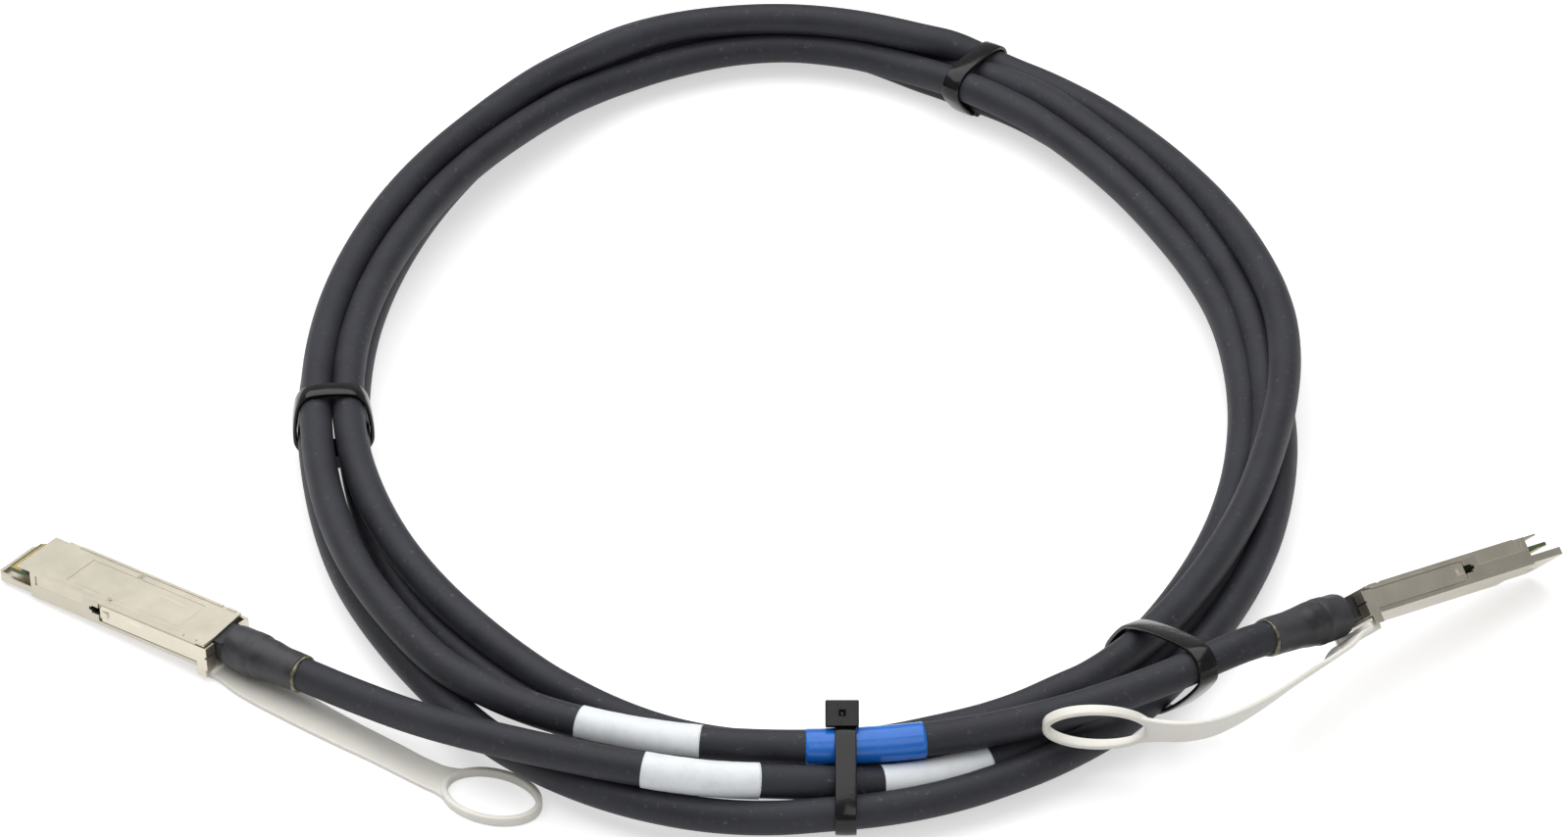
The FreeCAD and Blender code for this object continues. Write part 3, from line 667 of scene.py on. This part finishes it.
def sleeve(key):
    """The heat-shrink sleeve of one end.

    The radius follows the profile along the lead, plus low ridges that run slantwise round it
    and fade in and out along it; the wall turns in at the cable's end and goes back inside.
    """
    rows, columns = 150, 128
    x = np.linspace(BOOT_X[0], BOOT_END[key], rows)
    centre, side, up = lead_frame(key, x)
    r = np.interp(x / BOOT_END[key], BOOT_X / BOOT_X[-1], BOOT_R)
    kernel = np.hanning(13) / np.hanning(13).sum()
    r = np.convolve(np.pad(r, 6, mode="edge"), kernel, mode="valid")
    a = np.linspace(0, 2 * np.pi, columns, endpoint=False)
    xx, aa = np.meshgrid(x, a, indexing="ij")
    seed = 0.0 if key == "a" else 2.1

    def crease(behind, slant, phase, wide):
        """A rounded ridge one high, at a distance behind the plug that slants round the sleeve."""
        return np.exp(-((xx + behind + slant * np.sin(aa + phase + seed)) / wide) ** 2)

    ridges = 0.16 * crease(17, 1.5, 0, 1.6) * (0.5 + 0.5 * np.sin(2 * aa + seed))
    ridges += 0.12 * crease(11.5, 1.8, 1, 1.1) - 0.16 * crease(14.4, 1.4, 2, 0.9)
    ridges += 0.10 * np.sin(5 * aa + 0.5 * xx + seed) * crease(7, 0, 0, 4.5)
    ridges += 0.05 * np.sin(3 * aa - 0.7 * xx + seed) * crease(24, 0, 0, 5)
    fade = np.clip((BOOT_X[0] - xx) / 2, 0, 1) * np.clip((xx - BOOT_END[key]) / 1.5, 0, 1)
    rr = r[:, None] + ridges * fade
    grid = centre[:, None] + rr[..., None] * (np.cos(aa)[..., None] * side[:, None]
                                              + np.sin(aa)[..., None] * up[:, None])
    inner = [centre[row] + radius * (np.cos(a)[:, None] * side[row] + np.sin(a)[:, None] * up[row])
             for row, radius in ((-1, CUT_R), (-1, BORE_R), (-12, BORE_R), (0, BORE_R))]
    points = np.concatenate([grid.reshape(-1, 3), *inner])
    faces = grid_faces(rows + len(inner), columns, wrap_rows=True)
    piece = mesh_piece("sleeve_" + key, points, faces, shrink)
    face_outward(piece)
    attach(piece, "cable")
    return piece


def glue_bead(key):
    """The set glue: a ring round the cable whose section is a circle that swells and thins."""
    rows, columns = 120, 20
    a = np.linspace(0, 2 * np.pi, rows, endpoint=False)
    b = np.linspace(0, 2 * np.pi, columns, endpoint=False)
    centre, side, up = lead_frame(key, BOOT_END[key] - np.array([0, 0.35, 0.7]))
    seed = 1.0 if key == "a" else 4.0
    fat = 0.52 + 0.07 * np.sin(2 * a + seed) + 0.05 * np.sin(5 * a + 2 * seed) + 0.03 * np.sin(11 * a)
    forward = centre[2] - centre[0]
    forward /= np.linalg.norm(forward)
    radial = np.cos(a)[:, None] * side[1] + np.sin(a)[:, None] * up[1]
    ring = centre[1] + (RADIUS + 0.12) * radial
    grid = ring[:, None] + fat[:, None, None] * (np.cos(b)[None, :, None] * radial[:, None]
                                                 + 1.25 * np.sin(b)[None, :, None] * forward)
    piece = mesh_piece("glue_bead_" + key, grid.reshape(-1, 3),
                       grid_faces(rows, columns, wrap_rows=True), glue)
    face_outward(piece)
    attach(piece, "cable")
    return piece


for key in ("a", "b"):
    at_end = [(sleeve(key), "boot", "shrink_sleeve"), (glue_bead(key), "glue_ring", "set_glue")]
    for piece, part, slot in at_end:
        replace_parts(piece, f"plug_{key}_{part}")


# ---- plug metals ----
# The shells are die-cast zinc and pressed steel, both nickel plated: a warm pale grey with a fine
# brushed grain along the plug, handling marks and brighter edges. The slider is bright steel.

def plug_place(tree, key):
    """The place on the object turned into the plug's own frame, so that a grain can follow it."""
    back = PLUG_TURN[key].T
    turn = (math.atan2(back[2, 1], back[2, 2]), -math.asin(back[2, 0]), math.atan2(back[1, 0], back[0, 0]))
    move = -(back @ (PLUG_AT[key] + SHIFT)) * MM
    return add(tree, "Mapping", Vector=object_place(tree), Rotation=turn, Location=move).outputs[0]


def metal(name, key, colour, rough, grain):
    """Plated metal: brushed grain, blotches of wear, scratches, and edges softened by the finish."""
    material, tree, shader = new_material(name)
    here = plug_place(tree, key)
    lengthwise = add(tree, "Mapping", Vector=here, Scale=(60, 1500, 1500)).outputs[0]
    slantwise = add(tree, "Mapping", Vector=here, Rotation=(0, 0, 0.7), Scale=(45, 1400, 700)).outputs[0]
    blotch = noise(tree, here, 110, 6, 0.65)
    scratch = spread(tree, noise(tree, slantwise, 1.0, 2), 0, 0.5, 0.66, 0.74)
    worn, clean, bright = ([min(1, c * share) for c in colour] for share in (0.93, 1.05, 1.35))
    tone = ramp(tree, blotch, worn, clean, 0.3, 0.66)
    soft = add(tree, "Bevel", samples=4, Radius=0.00022).outputs[0]
    fill(shader, Metallic=1.0, Base_Color=mixed(tree, scratch, tone, (*bright, 1)),
         Roughness=spread(tree, blotch, rough - 0.04, rough + 0.05),
         Normal=bump(tree, noise(tree, lengthwise, 1.0, 4, 0.65), grain, 0.00006, soft))
    return material


def dress(node, material):
    """Give a solid of the model its finish."""
    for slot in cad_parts[node].material_slots:
        slot.material = material


for key in ("a", "b"):
    cover_metal = metal("cover_metal_" + key, key, (0.60, 0.56, 0.465), 0.42, 0.35)
    dress(f"plug_{key}_lower_shell", metal("shell_metal_" + key, key, (0.56, 0.525, 0.445), 0.40, 0.3))
    dress(f"plug_{key}_release_slider", metal("slider_metal_" + key, key, (0.68, 0.635, 0.53), 0.36, 0.3))
    for part in ("top_cover", "cover_pin_1", "cover_pin_2"):
        dress(f"plug_{key}_{part}", cover_metal)


# ---- springs and cable clamps ----
# Two small coil springs of steel wire push each slider forward, and are squeezed against the
# shell's rear wall when the tab is pulled. A black moulded block grips the cable's end inside each
# shell. The cover shuts all of them in.

spring_wire, tree, shader = new_material("spring_wire")
drawn = noise(tree, object_place(tree), 2500, 3)
fill(shader, Base_Color=ramp(tree, drawn, (0.42, 0.41, 0.39), (0.62, 0.61, 0.58)), Metallic=1.0,
     Roughness=0.3)

moulding, tree, shader = new_material("moulding")
pores = noise(tree, object_place(tree), 1800, 4)
fill(shader, Base_Color=ramp(tree, pores, (0.012, 0.012, 0.013), (0.028, 0.028, 0.03)), Roughness=0.6,
     Normal=bump(tree, pores, 0.3, 0.0001))

# The spring's rear end in the plug's own frame, its length, its distance to the side, the radius
# of its turns and of its wire, and how far forward each turn goes.
SPRING_REAR = 4.85
SPRING_LONG = 4.1
SPRING_SIDE = 7.225
SPRING_R = 0.62
WIRE_R = 0.16
PITCH = 0.88


def return_spring(key, n):
    """A spring of round wire.

    Its middle line keeps one radius from the spring's axis and goes round it once for each pitch
    forward. The wire's circle is carried along it, square to it, and both ends are shut.
    """
    rows, columns = 150, 12
    forward = np.linspace(0, SPRING_LONG, rows)
    a = 2 * np.pi * forward / PITCH
    side = SPRING_SIDE if n == 2 else -SPRING_SIDE
    outward = np.stack([0 * forward, np.sin(a), -np.cos(a)], -1)
    middle = np.stack([SPRING_REAR + forward, side + 0 * forward, 0 * forward], -1) + SPRING_R * outward
    ahead = np.gradient(middle, axis=0)
    ahead /= np.linalg.norm(ahead, axis=1)[:, None]
    third = np.cross(ahead, outward)
    b = np.linspace(0, 2 * np.pi, columns, endpoint=False)
    grid = middle[:, None] + WIRE_R * (np.cos(b)[None, :, None] * outward[:, None]
                                       + np.sin(b)[None, :, None] * third[:, None])
    faces = [*grid_faces(rows, columns).tolist(), list(range(columns)),
             list(range((rows - 1) * columns, rows * columns))]
    piece = mesh_piece(f"spring_{key}_{n}", from_plug(key, grid.reshape(-1, 3)) + SHIFT, faces, spring_wire)
    face_outward(piece)
    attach(piece, "cable")
    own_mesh(piece)
    return piece


for key in ("a", "b"):
    dress(f"plug_{key}_cable_clamp", moulding)
    for n in (1, 2):
        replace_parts(return_spring(key, n), f"plug_{key}_return_spring_{n}")


# ---- paddle cards ----
# A thin circuit board comes out at each nose, between the shell's tongue and the cover's blade. It
# is green laminate, with 19 gold-plated contact fingers standing a little proud on each face.

# The height of the board's middle in the plug's frame, and how far from it the laminate's faces
# have surely been passed and only the fingers go on, in metres.
CARD_MIDDLE = 0.0008
CARD_FACE = 0.000505


def card_material(key):
    """Green board, gold where the surface stands further from the board's middle than its face."""
    material, tree, shader = new_material("card_" + key)
    here = plug_place(tree, key)
    height = add(tree, "SeparateXYZ", Vector=here).outputs["Z"]
    depth = worked_out(tree, "ABSOLUTE", worked_out(tree, "SUBTRACT", height, CARD_MIDDLE))
    raised = worked_out(tree, "GREATER_THAN", depth, CARD_FACE)
    board = ramp(tree, noise(tree, here, 2200, 3), (0.03, 0.075, 0.03), (0.09, 0.13, 0.05))
    fill(shader, Base_Color=mixed(tree, raised, board, (0.95, 0.66, 0.24, 1)), Metallic=raised,
         Roughness=spread(tree, raised, 0.45, 0.25, 0, 1))
    return material


for key in ("a", "b"):
    dress(f"plug_{key}_paddle_card", card_material(key))


# ---- pull tabs ----
# Each release slider is pulled by a strap of moulded ivory nylon, its root fixed to the slider
# under the shell. It runs back beside the cable and ends in a loop for a finger.

tab_nylon, tree, shader = new_material("tab_nylon")
here = object_place(tree)
cloud = noise(tree, here, 55, 4, 0.55)
grain = noise(tree, here, 1600, 3, 0.6)
rounded = add(tree, "Bevel", samples=4, Radius=0.0003).outputs[0]
fill(shader, Base_Color=ramp(tree, cloud, (0.80, 0.775, 0.71), (0.87, 0.85, 0.79), 0.3, 0.7),
     Roughness=spread(tree, cloud, 0.34, 0.48), Subsurface_Weight=0.12,
     Subsurface_Radius=(1.0, 0.8, 0.5), Subsurface_Scale=0.0012,
     Normal=bump(tree, grain, 0.15, 0.00008, rounded))

TAB_T = 1.4
# Stations of each strap: the middle, the direction of its width, and its width.
TAB_RUN = {
    "a": [
        ((-152.0, -133.6, 0.95), (-0.62, -0.78, 0), 13.8),
        ((-138.0, -146.2, 0.75), (-0.62, -0.78, 0), 12.6),
        ((-125.5, -156.6, 0.72), (-0.62, -0.78, 0), 11.5),
        ((-112.0, -167.1, 0.72), (-0.62, -0.79, 0), 10.7),
        ((-103.0, -174.4, 0.72), (-0.58, -0.81, 0), 10.6),
        ((-97.5, -178.3, 0.78), (-0.53, -0.85, 0), 11.3),
        ((-94.0, -180.2, 0.95), (-0.515, -0.857, 0), 12.8),
        ((-91.3, -181.8, 1.15), (-0.515, -0.857, 0), 15.3),
    ],
    "b": [
        ((156.8, -148.6, 22.3), (0.50, -0.42, 0.76), 13.8),
        ((146.6, -160.6, 23.5), (0.45, -0.42, 0.79), 12.6),
        ((134.8, -174.1, 24.5), (0.36, -0.42, 0.83), 11.5),
        ((126.7, -182.0, 25.2), (0.26, -0.42, 0.87), 10.9),
        ((119.3, -187.2, 25.7), (0.16, -0.42, 0.89), 10.6),
        ((110.5, -189.6, 26.0), (0.05, -0.42, 0.907), 10.7),
        ((104.4, -189.3, 26.1), (0.0, -0.42, 0.907), 11.4),
        ((100.6, -188.8, 26.05), (0.0, -0.42, 0.907), 12.9),
        ((97.8, -188.4, 26.0), (0.0, -0.42, 0.907), 15.3),
    ],
}
# The loops: the middle, the direction of the long axis away from the plug, and the short one.
TAB_LOOP = {
    "a": ((-82.0, -187.3, 1.62), (0.857, -0.515, 0.0), (0.515, 0.857, 0.0)),
    "b": ((87.3, -187.6, 26.0), (-1.0, 0.04, 0.0), (0.0, -0.42, 0.907)),
}
# Half the long and short axes of a loop's oval, how far from its middle the strap's last station
# is, and the length of strap over which the end is drawn back to the oval.
LOOP_LONG = 14.45
LOOP_SHORT = 10.15
LAST_STATION = 10.8
DRAWN_BACK = 9
# The hook that joins a strap to its slider's bar: its middle, forward and up, in the plug's frame.
HOOK_MIDDLE = np.array([1.0, -7.0])


def unit(v):
    """A vector, or each of several, at length one."""
    return np.asarray(v, float) / np.linalg.norm(v, axis=-1, keepdims=True)


def eased_through(stations, count):
    """Values between stations by cubic curves whose slope at each is that of its neighbours."""
    stations = np.asarray(stations, float)
    run = np.concatenate([[0], np.cumsum(np.linalg.norm(np.diff(stations[:, :3], axis=0), axis=1))])
    slope = np.gradient(stations, run, axis=0)
    s = np.linspace(0, run[-1], count)
    k = np.clip(np.searchsorted(run, s, side="right") - 1, 0, len(run) - 2)
    h = (run[k + 1] - run[k])[:, None]
    t = ((s - run[k])[:, None]) / h
    return ((2 * t**3 - 3 * t**2 + 1) * stations[k] + (t**3 - 2 * t**2 + t) * h * slope[k]
            + (-2 * t**3 + 3 * t**2) * stations[k + 1] + (t**3 - t**2) * h * slope[k + 1])


def soft_bar(half_wide, half_thick, corner, between=0):
    """Points round a rectangle whose corners are quarter circles, as offsets wide and thick.

    Five points go round each corner. Each wide face has further points at even steps between its
    corners, if asked.
    """
    a = np.linspace(0, np.pi / 2, 5)
    quarters = []
    for k, (sx, sy) in enumerate(((1, 1), (-1, 1), (-1, -1), (1, -1))):
        turn = a + k * np.pi / 2
        quarters.append(np.stack([sx * (half_wide - corner) + corner * np.cos(turn),
                                  sy * (half_thick - corner) + corner * np.sin(turn)], -1))
        if between and k % 2 == 0:
            steps = np.linspace(sx, -sx, between + 2)[1:-1]
            quarters.append(np.stack([steps * (half_wide - corner), np.full(between, sy * half_thick)], -1))
    return np.concatenate(quarters)


def tab_strap(key):
    """The strap: a flat bar with rounded edges, carried along the stations.

    Over its last 9 mm it is drawn back, by the square of the way along them, until its end
    follows the middle of the loop's oval band.
    """
    near, root = (from_plug(key, p)[0] for p in ((0.6, 0, -7.7), (-2.0, 0, -7.8)))
    wide = PLUG_TURN[key] @ np.array([0, -1.0 if key == "b" else 1.0, 0])
    first = [(near, wide, 15.0), (root, wide, 15.0)]
    rows = eased_through([[*c, *unit(w), size] for c, w, size in first + TAB_RUN[key]], 150)
    centre, size = rows[:, :3], rows[:, 6]
    ahead = unit(np.gradient(centre, axis=0))
    wide = unit(rows[:, 3:6] - ahead * np.sum(rows[:, 3:6] * ahead, axis=1, keepdims=True))
    thick = np.cross(ahead, wide)
    between = 15
    a = np.array([soft_bar(w / 2, TAB_T / 2, 0.42, between) for w in size])
    points = centre[:, None] + a[..., :1] * wide[:, None] + a[..., 1:] * thick[:, None] + SHIFT
    from_end = np.linalg.norm(centre - centre[-1], axis=1)
    oval = LOOP_LONG * np.sqrt(1 - np.minimum(np.abs(a[..., 0]) / LOOP_SHORT, 0.99) ** 2)
    back = np.clip(1 - from_end / DRAWN_BACK, 0, 1)[:, None] ** 2 * np.maximum(0, oval - LAST_STATION)
    points -= back[..., None] * ahead[:, None]
    columns = points.shape[1]
    faces = grid_faces(len(points), columns).tolist()
    # Each end is shut by strips from its upper edge to its lower one and a face at either side.
    upper, lower = 5 + np.arange(between), 14 + 2 * between - np.arange(between)
    shut = np.stack([upper[:-1], upper[1:], lower[1:], lower[:-1]], -1).tolist()
    shut += [list(range(4 + between, 16 + between)), [*range(14 + 2 * between, columns), *range(6)]]
    for start in (0, (len(points) - 1) * columns):
        faces += [[start + v for v in face] for face in shut]
    return points.reshape(-1, 3), faces


def tab_ring(key):
    """The loop: a band on edge round an oval, higher at its far end than beside the strap.

    The middle line is an ellipse; the band is as high as the mean of 2.5 and 3.2 mm weighted by
    how far round it is, and its corners are rounded.
    """
    centre, along_loop, across_loop = (np.asarray(v, float) for v in TAB_LOOP[key])
    x = unit(along_loop)
    y = unit(across_loop - x * (across_loop @ x))
    z = np.cross(x, y)
    a = np.linspace(0, 2 * np.pi, 160, endpoint=False)
    ca, sa = np.cos(a), np.sin(a)
    path = LOOP_LONG * ca[:, None] * x + LOOP_SHORT * sa[:, None] * y
    out = unit(ca[:, None] / LOOP_LONG * x + sa[:, None] / LOOP_SHORT * y)
    tall = 1.25 + 0.35 * (0.5 + 0.5 * ca)
    thin = 0.85 + 0.1 * (0.5 - 0.5 * ca)
    bars = np.array([soft_bar(t, h, 0.55) for t, h in zip(thin, tall)])
    # Loop a lies flat, so its lower edge stays level and only the upper one rises.
    drop = (1.6 - tall) * (-1.0 if key == "a" else 0.0)
    points = (centre + path[:, None] + bars[..., :1] * out[:, None]
              + (bars[..., 1:] + drop[:, None, None]) * z) + SHIFT
    return points.reshape(-1, 3), grid_faces(len(a), bars.shape[1], wrap_rows=True).tolist()


def tab_hook(key):
    """The root: a bar with rounded edges across the plug, drawn in over its last 0.3 mm."""
    shape = soft_bar(2.0, 1.4, 0.5)
    points = []
    for side, scale in ((-7.6, 0.85), (-7.3, 1.0), (7.3, 1.0), (7.6, 0.85)):
        flat = HOOK_MIDDLE + shape * scale
        points.append(from_plug(key, np.c_[flat[:, 0], np.full(len(flat), side), flat[:, 1]]) + SHIFT)
    columns = len(shape)
    faces = [*grid_faces(4, columns).tolist(), list(range(columns))[::-1],
             list(range(3 * columns, 4 * columns))]
    return np.concatenate(points), faces


def joined(parts):
    """Several closed shells as one set of points and faces."""
    points, faces, start = [], [], 0
    for part_points, part_faces in parts:
        points.append(part_points)
        faces += [[v + start for v in f] for f in part_faces]
        start += len(part_points)
    return np.concatenate(points), faces


for key in ("a", "b"):
    tab = mesh_piece("tab_" + key, *joined([tab_hook(key), tab_strap(key), tab_ring(key)]), tab_nylon)
    face_outward(tab)
    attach(tab, "release_" + key)
    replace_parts(tab, f"plug_{key}_pull_tab")
